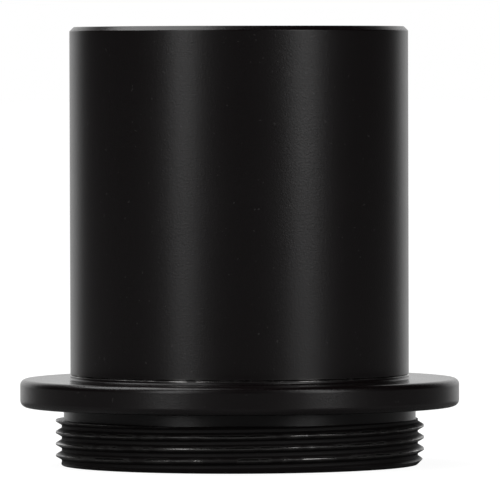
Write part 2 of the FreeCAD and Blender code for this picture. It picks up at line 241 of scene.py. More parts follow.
@dataclass(frozen=True)
class BlackFinish:
    """Black conversion coat on turned metal. Sizes are in millimetres.

    Args:
        name: material name.
        colour: colour of the coat.
        worn: colour where an edge has been rubbed.
        roughness: mean roughness of its walls.
        grain: how the metal was left.
        metallic: share of bare metal that shows.
        gloss: strength of the mirror reflection; 0.5 is that of a plain dielectric.
        level_roughness: roughness of the faces across the axis, which are turned smoother.
        groove_roughness: how much rougher the floor of a thread's groove is.
        cloud_size: size of the broad changes of roughness.
        cloud_roughness: how much they change it.
        grain_size: size of the fine grain.
        grain_roughness: how much the grain changes the roughness.
        feed: spacing of the turning marks.
        bump_strength: strength of the relief of grain and marks.
        bump_depth: depth of that relief.
        rub_size: size of the rubbed stretches along an edge.
        rub_band: noise values between which an edge goes from whole to rubbed.
        rub_least: how much of an edge's mark stays on its whole stretches.
        rub_wear: share of the worn colour on a rubbed edge.
        rub_metal: how soon a rubbed edge shows metal.
        rub_polish: how much smoother a rubbed edge is.
        speck_size: size of the pale specks.
        speck_band: noise values between which a speck begins and is full.
        speck_wear: share of the worn colour in a speck.
    """

    name: str
    colour: tuple
    worn: tuple
    roughness: float
    grain: Grain
    metallic: float = 0.0
    gloss: float = 0.45
    level_roughness: float = 0.24
    groove_roughness: float = 0.35
    cloud_size: float = 4.5
    cloud_roughness: float = 0.05
    grain_size: float = 0.13
    grain_roughness: float = 0.06
    feed: float = 0.11
    bump_strength: float = 0.38
    bump_depth: float = 0.02
    rub_size: float = 1.1
    rub_band: tuple = (0.40, 0.62)
    rub_least: float = 0.08
    rub_wear: float = 0.8
    rub_metal: float = 2.5
    rub_polish: float = 0.16
    speck_size: float = 0.22
    speck_band: tuple = (0.80, 0.86)
    speck_wear: float = 0.05

    def along(self, graph: Graph, place: Signal) -> Signal:
        """A plane place for turning marks: radius plus height, and radius minus height."""
        around = graph.node("ShaderNodeVectorMath", {"operation": "MULTIPLY"},
                            {0: place, 1: (1.0, 1.0, 0.0)})
        radius = graph.node("ShaderNodeVectorMath", {"operation": "LENGTH"}, {0: around}, "Value")
        height = graph.part(place, "Z")
        return graph.node("ShaderNodeCombineXYZ", {},
                          {"X": radius + height, "Y": radius - height})

    def make(self) -> bpy.types.Material:
        """Build the material: fine grain, turning marks, a few specks and rubbed edges."""
        material, graph = new_material(self.name)
        place = graph.place()
        fine = graph.noise(place, self.grain_size, detail=3.0)
        cloud = graph.noise(place, self.cloud_size, detail=3.0)
        marks = graph.noise(self.along(graph, place), self.feed, detail=1.0)
        specks = graph.ramp(graph.noise(place, self.speck_size, detail=0.0), *self.speck_band)
        stretches = graph.ramp(graph.noise(place, self.rub_size), *self.rub_band, self.rub_least)
        rubbed = graph.mark(EDGE_ATTRIBUTE) * stretches
        wear = graph.clamp(rubbed * self.rub_wear + specks * self.speck_wear)
        grain_share, mark_share = self.grain.value
        relief = fine * grain_share + marks * mark_share
        by_place = (graph.mark(LEVEL_ATTRIBUTE) * (self.level_roughness - self.roughness)
                    + graph.mark(GROOVE_ATTRIBUTE) * self.groove_roughness)
        rough = (self.roughness + by_place + (cloud - NOISE_MEAN) * self.cloud_roughness
                 + (fine - NOISE_MEAN) * self.grain_roughness - rubbed * self.rub_polish)
        graph.surface({
            "Base Color": graph.colours(wear, self.colour, self.worn),
            "Roughness": rough,
            "Metallic": graph.clamp(rubbed * self.rub_metal + self.metallic),
            "Specular IOR Level": self.gloss,
            "Normal": graph.node("ShaderNodeBump", {}, {
                "Height": relief,
                "Strength": self.bump_strength,
                "Distance": self.bump_depth * MM,
            }),
        })
        return material


@dataclass(frozen=True)
class GlassFinish:
    """Polished optical glass with a thin anti-reflection film and a little dust.

    Args:
        name: material name.
        index: refractive index.
        colour: tint of the glass.
        film: thickness of the film, in nanometres.
        film_index: refractive index of the film.
        polish: roughness of the clean glass.
        dust_size: size of the dusty spots, in millimetres.
        dust_band: noise values between which a spot begins and is full.
        dust_roughness: how much rougher a dusty spot is.
    """

    name: str
    index: float
    colour: tuple
    film: float = 0.0
    film_index: float = 1.38
    polish: float = 0.01
    dust_size: float = 0.5
    dust_band: tuple = (0.78, 0.84)
    dust_roughness: float = 0.25

    def make(self) -> bpy.types.Material:
        """Build the material."""
        material, graph = new_material(self.name)
        spots = graph.noise(graph.place(), self.dust_size, detail=1.0)
        graph.surface({
            "Base Color": (*self.colour, 1.0),
            "Roughness": graph.ramp(spots, *self.dust_band) * self.dust_roughness + self.polish,
            "IOR": self.index,
            "Transmission Weight": 1.0,
            "Thin Film Thickness": self.film,
            "Thin Film IOR": self.film_index,
        })
        return material


@dataclass(frozen=True)
class Thread:
    """A 60 degree right-handed screw thread, in millimetres.

    Args:
        side: the wall that it is cut in.
        crest: radius of the uncut wall.
        floor: radius of the groove's floor.
        pitch: rise of one turn.
        floor_half: half the width of the groove's floor.
        groove_height: height of the groove's middle at the +X side.
        low: where the thread begins.
        high: where it ends.
        fine: whether the profile gets more rows, for a thread that is seen from near.
        corner: how softly the profile's corners are rounded.
        rubbing: how strongly the crest's edges are marked as rubbed.
        slack: how far a profile point may lie off the threaded wall and still count as on it.
    """

    side: Side
    crest: float
    floor: float
    pitch: float
    floor_half: float
    groove_height: float
    low: float
    high: float
    fine: bool = False
    corner: float = 0.02
    rubbing: float = 0.15
    slack: float = 0.002

    @property
    def depth(self) -> float:
        """How deep the groove is."""
        return abs(self.crest - self.floor)

    @property
    def crest_edge(self) -> float:
        """Distance of the crest's edge from the groove's middle line."""
        return self.floor_half + self.depth * FLANK

    def covers(self, points: np.ndarray) -> np.ndarray:
        """Which profile points lie on the threaded wall."""
        radius, height = points[:, 0], points[:, 1]
        inner, outer = sorted((self.crest, self.floor))
        within = (radius > inner - self.slack) & (radius < outer + self.slack)
        return within & (height > self.low - self.slack) & (height < self.high + self.slack)

    def softened(self, value: np.ndarray) -> np.ndarray:
        """The value above nought and nought below: (v + sqrt(v^2 + corner^2)) / 2."""
        return (value + np.sqrt(value ** 2 + self.corner ** 2)) / 2

    def cut(self, radius: np.ndarray, height: np.ndarray,
            angle: np.ndarray) -> tuple[np.ndarray, np.ndarray, np.ndarray]:
        """Cut the groove in the wall.

        The distance from the groove's middle line is taken within half a pitch, and each flank
        rises from the floor at 30 degrees to the plane across the axis, up to the crest.

        Args:
            radius: radius of the plain wall.
            height: height of each point.
            angle: angle of each point round the axis.

        Returns:
            The new radius, a mark that is highest along the crest's edges, and the depth below
            the crest as a share of the whole.
        """
        turns = (height - self.groove_height) / self.pitch - angle / (2 * math.pi)
        off = np.abs(turns - np.round(turns)) * self.pitch
        flank = self.softened((off - self.floor_half) / FLANK)
        rise = self.depth - self.softened(self.depth - flank)
        if self.side is Side.OUTSIDE:
            wall = np.minimum(radius, self.floor + rise)
        else:
            wall = np.maximum(radius, self.floor - rise)
        mark_width, crest_reach = 1.5 * self.corner, 3 * self.corner
        mark = self.rubbing * np.exp(-((off - self.crest_edge) / mark_width) ** 2)
        return wall, mark * (np.abs(wall - self.crest) < crest_reach), 1 - rise / self.depth

    def row_heights(self) -> tuple[np.ndarray, int]:
        """Heights of the climbing rows at the +X side, and how many lie in one pitch.

        Each edge of the groove's floor and of the crest has a row on both sides of it, and two
        spare turns stand at each end before the rows that the wall needs are taken.
        """
        soft, spare = 0.8 * self.corner, 2
        sides = [self.floor_half - soft, self.floor_half + soft,
                 self.crest_edge - soft, self.crest_edge + soft]
        middles = []
        if self.fine:
            sides += [self.floor_half, (self.floor_half + self.crest_edge) / 2, self.crest_edge]
            middles = [0.0, self.pitch / 2]
        offsets = np.sort([*sides, *(-side for side in sides), *middles])
        lowest = math.floor((self.low - self.groove_height) / self.pitch) - spare
        highest = math.ceil((self.high - self.groove_height) / self.pitch) + spare
        turns = np.arange(lowest, highest)[:, None]
        heights = (self.groove_height + self.pitch * turns + offsets).reshape(-1)
        first = np.searchsorted(heights, self.low - self.pitch, side="right") - 1
        last = np.searchsorted(heights, self.high)
        return heights[first:last + 1], len(offsets)

    def patch(self, wall: np.ndarray, angle: np.ndarray) -> tuple[np.ndarray, ...]:
        """Make the threaded wall from rows that climb with the thread.

        Row i stands at clip(z_i + pitch * angle / (2 pi), low, high), and after a turn it meets
        the row that stands a pitch above it.

        Args:
            wall: radius and height of the plain wall, from the bottom up.
            angle: angle of each column.

        Returns:
            Radius, height, edge mark and depth share of each point, and the faces.
        """
        start, in_pitch = self.row_heights()
        height = start[:, None] + self.pitch * angle[None, :] / (2 * math.pi)
        height = np.clip(height, self.low, self.high)
        plain = np.interp(height, wall[:, 1], wall[:, 0])
        radius, mark, below = self.cut(plain, height, angle[None, :])
        rows, columns = height.shape
        row, column = np.meshgrid(np.arange(rows - 1), np.arange(columns), indexing="ij")
        faces = []
        for up, along in ((0, 0), (0, 1), (1, 1), (1, 0)):
            beyond = (column + along) // columns
            reached = np.minimum(row + up + beyond * in_pitch, rows - 1)
            faces.append(reached * columns + (column + along) % columns)
        return radius, height, mark, below, np.stack(faces, axis=-1).reshape(-1, 4)


def unit(vectors: np.ndarray) -> np.ndarray:
    """The vectors divided by their lengths, and nought where they have none."""
    return vectors / np.maximum(np.linalg.norm(vectors, axis=1, keepdims=True), TINY)


def levelness(points: np.ndarray) -> np.ndarray:
    """How level the outline is at each point: the mean radial share of the two sides there."""
    share = np.abs(unit(np.roll(points, -1, axis=0) - points)[:, 0])
    return (share + np.roll(share, 1)) / 2


def eased(corners: np.ndarray) -> tuple[np.ndarray, np.ndarray, np.ndarray]:
    """Round each corner of a closed outline with an arc that touches both sides.

    The arc's centre lies on the bisector of the corner, and its points turn evenly from one
    side to the other. A holding point stands just outside each end of all but the smallest
    arcs, so that flat faces stay flat. A corner without rounding stays one point.

    Args:
        corners: rows of radius, height and rounding.

    Returns:
        The outline's points, for each 1 on a small outward arc and 0 elsewhere, and how level
        the surface is there, from 0 for a wall to 1 for a face across the axis.
    """
    place, rounding = corners[:, :2], corners[:, 2]
    back = unit(np.roll(place, 1, axis=0) - place)
    ahead = unit(np.roll(place, -1, axis=0) - place)
    half = np.arccos(np.clip((back * ahead).sum(1), -1, 1)) / 2
    reach = rounding / np.tan(half)
    centre = place + unit(back + ahead) * (rounding / np.sin(half))[:, None]
    steps = np.select([rounding <= limit for limit in ARC_LIMITS], ARC_STEPS, LARGE_ARC_STEPS)
    held = (rounding >= HELD_FROM).astype(int)
    counts = steps + 1 + 2 * held
    corner = np.repeat(np.arange(len(place)), counts)
    number = np.arange(len(corner)) - (np.cumsum(counts) - counts)[corner] - held[corner]
    share = np.clip(number / np.maximum(steps[corner], 1), 0, 1)
    sweep = (np.pi - 2 * half)[corner]
    start = place + back * reach[:, None] - centre
    end = place + ahead * reach[:, None] - centre
    whole = np.maximum(np.sin(sweep), TINY)
    first, second = np.sin((1 - share) * sweep) / whole, np.sin(share * sweep) / whole
    points = centre[corner] + first[:, None] * start[corner] + second[:, None] * end[corner]
    hold = (reach + np.minimum(rounding / 2, HOLD_REACH))[:, None]
    points = np.where((number < 0)[:, None], (place + back * hold)[corner], points)
    points = np.where((number > steps[corner])[:, None], (place + ahead * hold)[corner], points)
    turn = ahead[:, 0] * back[:, 1] - ahead[:, 1] * back[:, 0]
    beyond = np.roll(place, -1, axis=0)
    area = (place[:, 0] * beyond[:, 1] - beyond[:, 0] * place[:, 1]).sum()
    crisp = (rounding >= HELD_FROM) & (rounding <= CRISP_UP_TO)
    on_arc = (number >= 0) & (number <= steps[corner]) & crisp[corner]
    mark = on_arc & (turn * np.sign(area) > 0)[corner]
    return points, mark.astype(float), levelness(points)


def round_angles(columns: int) -> np.ndarray:
    """Angles of evenly spaced columns round the axis."""
    return np.arange(columns) * 2 * math.pi / columns


def closed_rows(rows: int, columns: int) -> np.ndarray:
    """Faces of a grid that closes on itself both ways, by row, column and corner."""
    row, column = np.meshgrid(np.arange(rows), np.arange(columns), indexing="ij")
    below, beside = (row + 1) % rows, (column + 1) % columns
    corners = (row * columns + column, row * columns + beside,
               below * columns + beside, below * columns + column)
    return np.stack(corners, axis=-1)


def six_volumes(vertices: np.ndarray, faces: np.ndarray) -> float:
    """Six times the signed volume that closed faces of four hold, positive if they face out."""
    a, b, c, d = (vertices[faces[:, i]] for i in range(4))
    halves = np.einsum("ij,ij->", a, np.cross(b, c)), np.einsum("ij,ij->", a, np.cross(c, d))
    return float(sum(halves))


def add_object(name: str, data: bpy.types.ID) -> bpy.types.Object:
    """Put a mesh, lamp or camera into the scene."""
    added = bpy.data.objects.new(name, data)
    bpy.context.scene.collection.objects.link(added)
    return added


@dataclass
class Piece:
    """A piece that rides on a body in place of a node.

    Args:
        name: the piece's name.
        node: node that it stands for.
        body: body that carries it.
        slot: material slot of the record.
        merge: how near points are that become one, in metres.
        smooth_below: how far an edge may turn and still be smooth, in degrees.
    """

    name: str
    node: str
    body: str
    slot: str
    merge: float = field(default=2e-7, kw_only=True)
    smooth_below: float = field(default=38.0, kw_only=True)

    def finish(self, mesh: bpy.types.Mesh, source: bpy.types.Mesh,
               material: bpy.types.Material) -> bpy.types.Object:
        """Merge a surface's doubled points, shade it smooth up to its edges and let it ride.

        Args:
            mesh: where the finished surface goes.
            source: the surface, which may be the same mesh.
            material: its finish.

        Returns:
            The piece.
        """
        work = bmesh.new()
        work.from_mesh(source)
        bmesh.ops.remove_doubles(work, verts=work.verts, dist=self.merge)
        work.to_mesh(mesh)
        work.free()
        mesh.shade_smooth()
        mesh.set_sharp_from_angle(angle=math.radians(self.smooth_below))
        mesh.materials.append(material)
        piece = add_object(self.name, mesh)
        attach(piece, self.body)
        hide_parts(self.node)
        LOG.info("%s: %d vertices, %d faces, on %s", self.name, len(mesh.vertices),
                 len(mesh.polygons), self.body)
        return piece

    def make(self, vertices: np.ndarray, faces: list, marks: dict[str, np.ndarray],
             material: bpy.types.Material) -> bpy.types.Object:
        """Put a new surface into a mesh and finish it.

        Args:
            vertices: points in millimetres.
            faces: corner numbers.
            marks: values for each vertex, by their attribute's name.
            material: its finish.

        Returns:
            The piece.
        """
        mesh = bpy.data.meshes.new(self.name)
        mesh.from_pydata(vertices * MM, [], faces)
        for attribute, values in marks.items():
            mesh.attributes.new(attribute, "FLOAT", "POINT").data.foreach_set("value", values)
        return self.finish(mesh, mesh, material)


@dataclass
class Turning(Piece):
    """A ring turned from an outline, with the threads that are cut in it.

    Args:
        corners: rows of radius and height, with a rounding where it isn't the edge break.
        threads: threads cut in its walls.
        columns: how many columns stand round the axis.
        edge_break: rounding of a corner that gives none.
    """

    corners: tuple
    threads: tuple[Thread, ...] = ()
    columns: int = 256
    edge_break: float = 0.03

    def build(self, material: bpy.types.Material) -> bpy.types.Object:
        """Turn the outline round the axis: each point goes to radius times cosine and sine.

        Args:
            material: the finish.

        Returns:
            The piece.
        """
        rows = [corner if len(corner) == 3 else (*corner, self.edge_break)
                for corner in self.corners]
        points, mark, level = eased(np.array(rows, float))
        angle = round_angles(self.columns)
        radius, height, edge, across = (np.repeat(values[:, None], self.columns, axis=1)
                                        for values in (*points.T, mark, level))
        groove = np.zeros_like(radius)
        kept = np.ones(len(points), bool)
        patches = []
        for thread in self.threads:
            covered = thread.covers(points)
            wall = points[covered]
            rising = wall[-1, 1] > wall[0, 1]
            *surface, faces = thread.patch(wall if rising else wall[::-1], angle)
            patches.append((surface, faces if rising else faces[:, ::-1]))
            cut = thread.cut(radius[covered], height[covered], angle[None, :])
            radius[covered], edge[covered], groove[covered] = cut
            across[covered] = 0.0
            kept &= ~(covered & np.roll(covered, -1))
        grids = [(radius, height, edge, groove, across)]
        parts = [closed_rows(len(points), self.columns)[kept].reshape(-1, 4)]
        total = radius.size
        for surface, faces in patches:
            grids.append((*surface, np.zeros_like(surface[0])))
            parts.append(faces + total)
            total += surface[0].size
        radius, height, *marks = (np.concatenate(part) for part in zip(*grids))
        vertices = np.stack([radius * np.cos(angle), radius * np.sin(angle), height], axis=-1)
        used, faces = np.unique(np.concatenate(parts), return_inverse=True)
        vertices, faces = vertices.reshape(-1, 3)[used], faces.reshape(-1, 4)
        if six_volumes(vertices, faces) < 0:
            faces = faces[:, ::-1]
        names = (EDGE_ATTRIBUTE, GROOVE_ATTRIBUTE, LEVEL_ATTRIBUTE)
        values = {name: mark.reshape(-1)[used] for name, mark in zip(names, marks)}
        return self.make(vertices, faces.tolist(), values, material)


@dataclass
class LensElement(Piece):
    """A glass element: two faces, each flat or a part of a sphere, and a ground rim.

    Args:
        rim: its radius.
        rear: height of the rear face on the axis and its curvature, in 1/mm.
        front: the same of the front face. A positive curvature lifts the face's rim.
        rings: how many rings each face has.
        columns: how many columns stand round the axis.
        bevel: width of the bevel between a face and the rim.
    """

    rim: float
    rear: tuple[float, float]
    front: tuple[float, float]
    rings: int = 28
    columns: int = 128
    bevel: float = 0.12

    @staticmethod
    def face(vertex: float, curvature: float, radius: np.ndarray) -> np.ndarray:
        """Height of a spherical face: curvature r^2 / (1 + sqrt(1 - curvature^2 r^2))."""
        fall = 1 + np.sqrt(1 - (curvature * radius) ** 2)
        return vertex + curvature * radius ** 2 / fall

    def build(self, material: bpy.types.Material) -> bpy.types.Object:
        """Turn both faces and the rim round the axis, with one point at each pole.

        Args:
            material: the finish.

        Returns:
            The piece.
        """
        reach = np.linspace(0.0, self.rim - self.bevel, self.rings + 1)[1:]
        rear, front = self.face(*self.rear, reach), self.face(*self.front, reach)
        wall = np.array([[self.rim, rear[-1] + self.bevel], [self.rim, front[-1] - self.bevel]])
        outline = np.concatenate([np.stack([reach, rear], 1), wall,
                                  np.stack([reach, front], 1)[::-1]])
        angle = round_angles(self.columns)
        around = np.stack([np.cos(angle), np.sin(angle)], axis=-1)
        grid = outline[:, None, :1] * around[None]
        level = np.repeat(outline[:, None, 1:], self.columns, axis=1)
        poles = np.array([[0, 0, self.rear[0]], [0, 0, self.front[0]]], float)
        vertices = np.concatenate([np.concatenate([grid, level], axis=-1).reshape(-1, 3), poles])
        count = len(outline)
        faces = closed_rows(count, self.columns)[:-1].reshape(-1, 4)
        column = np.arange(self.columns)
        beside = (column + 1) % self.columns
        bottom, top = count * self.columns, count * self.columns + 1
        last = (count - 1) * self.columns
        fans = [*np.stack([np.full_like(column, bottom), beside, column], 1).tolist(),
                *np.stack([np.full_like(column, top), last + column, last + beside], 1).tolist()]
        return self.make(vertices, faces.tolist() + fans, {}, material)


@dataclass
class MountRing:
    """Flange ring with the camera thread, its relief neck and the collar below the tube."""

    thread_radius: float = 12.625
    root_radius: float = 12.21
    neck_radius: float = 12.06
    neck_bottom: float = 3.12
    end_bevel: float = 0.45
    seat: float = 4.0
    seat_relief_width: float = 0.225
    seat_relief_depth: float = 0.1
    flange_radius: float = 15.044
    flange_top: float = 5.9
    under_round: float = 0.45
    top_round: float = 0.4
    collar_top: float = 6.18
    collar_foot_round: float = 0.15
    collar_bevel: float = 0.06
    tube_radius: float = 11.6
    bore: float = 9.5
    bore_bevel: float = 0.3
    shoulder: float = 2.3
    pitch: float = 0.79375
    crest_height: float = 2.66
    thread_start: float = 0.06
    joint_major: float = 11.0
    joint_pitch: float = 0.75
    joint_relief_top: float = 3.2
    joint_relief_depth: float = 0.05

    def camera_thread(self) -> Thread:
        """The male thread at the camera end."""
        return Thread(Side.OUTSIDE, crest=self.thread_radius, floor=self.root_radius,
                      pitch=self.pitch, floor_half=self.pitch * MALE_FLOOR_SHARE,
                      groove_height=self.crest_height + self.pitch / 2,
                      low=self.thread_start, high=self.neck_bottom, fine=True, rubbing=1.0)

    def joint_thread(self) -> Thread:
        """The female thread that holds the tube."""
        minor = self.joint_major - self.joint_pitch * THREAD_DEPTH_SHARE
        return Thread(Side.INSIDE, crest=minor, floor=self.joint_major, pitch=self.joint_pitch,
                      floor_half=self.joint_pitch * FEMALE_FLOOR_SHARE,
                      groove_height=self.joint_relief_top - self.joint_pitch / 2,
                      low=self.joint_relief_top, high=self.collar_top)

    def build(self, material: bpy.types.Material) -> bpy.types.Object:
        """Build the ring in its finish."""
        joint = self.joint_thread()
        joint_relief = self.joint_major + self.joint_relief_depth
        end_radius = self.thread_radius - self.end_bevel
        seat_relief = self.thread_radius + self.seat_relief_width
        relief_roof = self.seat + self.seat_relief_depth
        corners = (
            (self.bore + self.bore_bevel, 0.0),
            (end_radius, 0.0, SLIGHT_ROUND),
            (end_radius + self.thread_start, self.thread_start, SHARP),
            (self.thread_radius, self.end_bevel),
            (self.thread_radius, self.neck_bottom, SHARP),
            (self.neck_radius, self.neck_bottom),
            (self.neck_radius, relief_roof, SMALL_ROUND),
            (seat_relief, relief_roof, SMALL_ROUND),
            (seat_relief, self.seat, SMALL_ROUND),
            (self.flange_radius, self.seat, self.under_round),
            (self.flange_radius, self.flange_top, self.top_round),
            (self.tube_radius, self.flange_top, self.collar_foot_round),
            (self.tube_radius, self.collar_top - self.collar_bevel),
            (self.tube_radius - self.collar_bevel, self.collar_top),
            (joint.crest, self.collar_top, SHARP),
            (joint.crest, self.joint_relief_top, SHARP),
            (joint_relief, self.joint_relief_top, FAINT_ROUND),
            (joint_relief, self.shoulder, SMALL_ROUND),
            (self.bore, self.shoulder),
            (self.bore, self.bore_bevel),
        )
        turning = Turning("mount_ring", "mount_flange", "housing", "satin_black_anodised",
                          corners, (self.camera_thread(), joint), columns=336)
        return turning.build(material)


@dataclass
class EyepieceTube:
    """Plain eyepiece tube with its screwed spigot, ribbed chamber and inner thread."""

    radius: float = 11.6
    rim: float = 30.0
    rim_bevel: float = 0.3
    rim_round: float = 0.11
    foot: float = 6.18
    foot_bevel: float = 0.06
    chamber: float = 9.6
    end: float = 2.8
    end_bevel: float = 0.3
    seat: float = 16.959
    cell_major: float = 10.5
    pitch: float = 0.75
    entry_bevel: float = 0.35
    relief_length: float = 0.9
    relief_depth: float = 0.05
    joint_major: float = 11.0
    joint_relief_top: float = 3.2
    clearance: float = 0.08
    baffle_pitch: float = 0.8
    baffle_depth: float = 0.25
    baffle_margin: float = 1.8

    @property
    def undercut_bottom(self) -> float:
        """Where the spigot's thread ends and the undercut below the foot begins."""
        return self.foot - self.relief_length

    def cell_thread(self) -> Thread:
        """The female thread of the lens cell."""
        minor = self.cell_major - self.pitch * THREAD_DEPTH_SHARE
        relief_top = self.seat + self.relief_length
        return Thread(Side.INSIDE, crest=minor, floor=self.cell_major, pitch=self.pitch,
                      floor_half=self.pitch * FEMALE_FLOOR_SHARE,
                      groove_height=relief_top - self.pitch / 2, low=relief_top, high=self.rim)

    def spigot_thread(self) -> Thread:
        """The male thread below the foot, half a pitch off the ring's groove."""
        crest = self.joint_major - self.clearance
        return Thread(Side.OUTSIDE, crest=crest, floor=crest - self.pitch * THREAD_DEPTH_SHARE,
                      pitch=self.pitch, floor_half=self.pitch * MALE_FLOOR_SHARE,
                      groove_height=self.joint_relief_top - self.pitch,
                      low=self.end, high=self.undercut_bottom)

    def baffles(self) -> list[tuple[float, float, float]]:
        """Corners of the V grooves in the chamber, from the top down."""
        room = self.seat - self.end - 2 * self.baffle_margin
        low = self.end + self.baffle_margin
        deep = self.chamber + self.baffle_depth
        corners = []
        for number in reversed(range(math.floor(room / self.baffle_pitch))):
            bottom = low + number * self.baffle_pitch
            corners.append((self.chamber, bottom + self.baffle_pitch, SLIGHT_ROUND))
            corners.append((deep, bottom + self.baffle_pitch / 2, SLIGHT_ROUND))
        corners.append((self.chamber, low, SLIGHT_ROUND))
        return corners

    def build(self, material: bpy.types.Material) -> bpy.types.Object:
        """Build the tube in its finish."""
        cell, spigot = self.cell_thread(), self.spigot_thread()
        undercut = spigot.floor - self.relief_depth
        cell_relief = self.cell_major + self.relief_depth
        corners = (
            (self.chamber, self.end),
            (spigot.crest - self.end_bevel, self.end, SHARP),
            (spigot.crest, self.end + self.end_bevel, FAINT_ROUND),
            (spigot.crest, self.undercut_bottom, SHARP),
            (undercut, self.undercut_bottom),
            (undercut, self.foot, SMALL_ROUND),
            (self.radius - self.foot_bevel, self.foot),
            (self.radius, self.foot + self.foot_bevel),
            (self.radius, self.rim - self.rim_bevel, self.rim_round),
            (self.radius - self.rim_bevel, self.rim, self.rim_round),
            (cell.crest + self.entry_bevel, self.rim, SHARP),
            (cell.crest, self.rim - self.entry_bevel, FAINT_ROUND),
            (cell.crest, cell.low, SHARP),
            (cell_relief, cell.low, FAINT_ROUND),
            (cell_relief, self.seat, SMALL_ROUND),
            (self.chamber, self.seat),
            *self.baffles(),
        )
        turning = Turning("eyepiece_tube", "nosepiece_tube", "housing", "satin_black_anodised",
                          corners, (cell, spigot), columns=232)
        return turning.build(material)


@dataclass
class FieldStop:
    """Thin stop ring with a knife edge."""

    aperture: float = 8.0
    outer: float = 10.494
    bottom: float = 2.3
    top: float = 2.8
    edge: float = 0.15

    def build(self, material: bpy.types.Material) -> bpy.types.Object:
        """Build the stop in its finish."""
        slope = self.top - self.bottom - self.edge
        outline = (
            (self.aperture, self.bottom),
            (self.outer, self.bottom),
            (self.outer, self.top),
            (self.aperture + slope, self.top),
            (self.aperture, self.bottom + self.edge),
        )
        turning = Turning("stop_ring", "field_stop", "housing", "matte_black_anodised", outline,
                          edge_break=SMALL_ROUND)
        return turning.build(material)


@dataclass
class CellHardware:
    """Slotted and plain rings of the lens cell, smoothed copies of their solids.

    Args:
        rings: node, body and material slot of each ring.
        merge: how near points are that become one, in metres.
        smooth_below: how far an edge may turn and still be smooth, in degrees.
    """

    rings: tuple = (
        ("lens_cell", "cell", "matte_black_anodised"),
        ("cell_lock_ring", "cell", "matte_black_anodised"),
        ("lens_retaining_ring", "cell", "blackened_brass"),
        ("spacer_ring", "optic", "blackened_brass"),
    )
    merge: float = 1e-7
    smooth_below: float = 11.0

    def build(self, frame: dict, finishes: dict) -> list[bpy.types.Object]:
        """Merge each solid's triangles and shade it smooth up to its edges.

        Args:
            frame: the loaded frame.
            finishes: materials by slot.

        Returns:
            The pieces.
        """
        made = []
        for node, body, slot in self.rings:
            ring = Piece(node + "_finished", node, body, slot, merge=self.merge,
                         smooth_below=self.smooth_below)
            mesh = bpy.data.meshes.new(ring.name)
            made.append(ring.finish(mesh, frame["nodes"][node].data, finishes[slot]))
        return made


@dataclass
class GlassStack:
    """The cemented doublet and the rear element."""

    rim: float = 8.5
    rear_bottom: float = 17.859
    rear_sphere: float = 40.0
    rear_edge: float = 1.0
    air_gap: float = 0.6
    flint_sphere: float = 90.0
    flint_thickness: float = 1.2
    cement_sphere: float = 26.0
    cement_layer: float = 0.01
    crown_sphere: float = 32.0
    crown_edge: float = 0.65

    def fall(self, sphere: float) -> float:
        """How far a sphere falls away at the rim."""
        return sphere - math.sqrt(sphere ** 2 - self.rim ** 2)

    def build(self, finishes: dict) -> list[bpy.types.Object]:
        """Build the three elements.

        Args:
            finishes: materials by slot.

        Returns:
            The pieces.
        """
        rear_top = self.rear_bottom + self.rear_edge + self.fall(self.rear_sphere)
        flint = rear_top + self.air_gap
        cement = flint + self.flint_thickness
        crown_top = (cement + self.crown_edge + self.fall(self.crown_sphere)
                     + self.fall(self.cement_sphere))
        elements = (
            LensElement("rear_lens", "rear_element", "optic", "crown_glass", self.rim,
                        (self.rear_bottom, 0.0), (rear_top, -1 / self.rear_sphere)),
            LensElement("flint_lens", "flint_element", "optic", "flint_glass", self.rim,
                        (flint, 1 / self.flint_sphere), (cement, 1 / self.cement_sphere)),
            LensElement("crown_lens", "crown_element", "optic", "crown_glass", self.rim,
                        (cement + self.cement_layer, 1 / self.cement_sphere),
                        (crown_top, -1 / self.crown_sphere)),
        )
        return [element.build(finishes[element.slot]) for element in elements]


